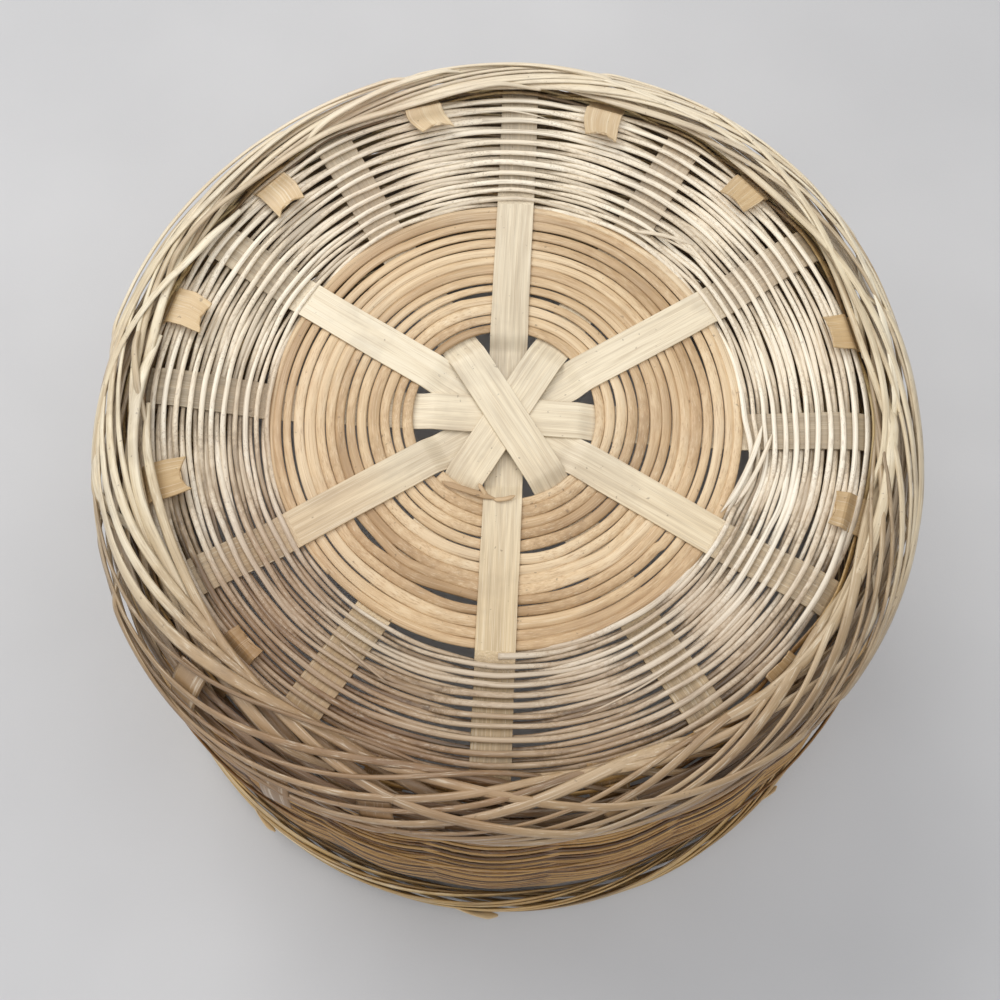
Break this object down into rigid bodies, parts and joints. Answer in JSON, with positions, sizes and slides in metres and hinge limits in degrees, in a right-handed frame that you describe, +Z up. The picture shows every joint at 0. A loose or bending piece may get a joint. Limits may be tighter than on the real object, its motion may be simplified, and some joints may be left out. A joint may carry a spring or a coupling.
{
  "type": "wicker wastebasket",
  "caption": "Round woven basket turned over on its mouth: crossed base strips, a spiral reed disc, woven base and wall, and wound splint borders at foot and mouth.",
  "frame": {"origin": "on the floor under the middle of the basket, at the level of the mouth that it stands on", "axes": "+Z up, out through the base, as the basket is pictured turned over; -Y towards the picture's viewer. In use it is turned half round about X, so that it stands on its foot border"},
  "size_m": [0.2972, 0.2972, 0.1834],
  "materials": {
    "strip": "split bamboo, pale straw, fine grain, dry satin",
    "stake": "split bamboo, pale gold, torn ends",
    "reed": "flat reed, warm tan, satin",
    "base_rods": "thin weavers, weathered grey-brown to cream",
    "wall_rods": "thin weavers, golden brown",
    "hoop": "split bamboo hoop, golden brown",
    "foot_border": "long splints, straw to olive, satin skin",
    "rim_border": "long splints, golden brown, satin skin"
  },
  "bodies": {
    "root": {"base_strip_1": "strip", "base_strip_2": "strip", "base_strip_3": "strip", "base_strip_4": "strip", "base_strip_5": "strip", "base_strip_6": "strip", "side_stake_1": "stake", "side_stake_2": "stake", "side_stake_3": "stake", "side_stake_4": "stake", "side_stake_5": "stake", "side_stake_6": "stake", "side_stake_7": "stake", "side_stake_8": "stake", "side_stake_9": "stake", "side_stake_10": "stake", "side_stake_11": "stake", "side_stake_12": "stake", "disc_weaver": "reed", "base_weave": "base_rods", "wall_weave_1": "wall_rods", "wall_weave_2": "wall_rods", "wall_weave_3": "wall_rods", "rim_hoop": "hoop", "foot_border_strand_1": "foot_border", "foot_border_strand_2": "foot_border", "foot_border_strand_3": "foot_border", "foot_border_strand_4": "foot_border", "foot_border_strand_5": "foot_border", "foot_border_strand_6": "foot_border", "rim_border_strand_1": "rim_border", "rim_border_strand_2": "rim_border", "rim_border_strand_3": "rim_border", "rim_border_strand_4": "rim_border", "rim_border_strand_5": "rim_border", "rim_border_strand_6": "rim_border"}
  },
  "joints": []
}
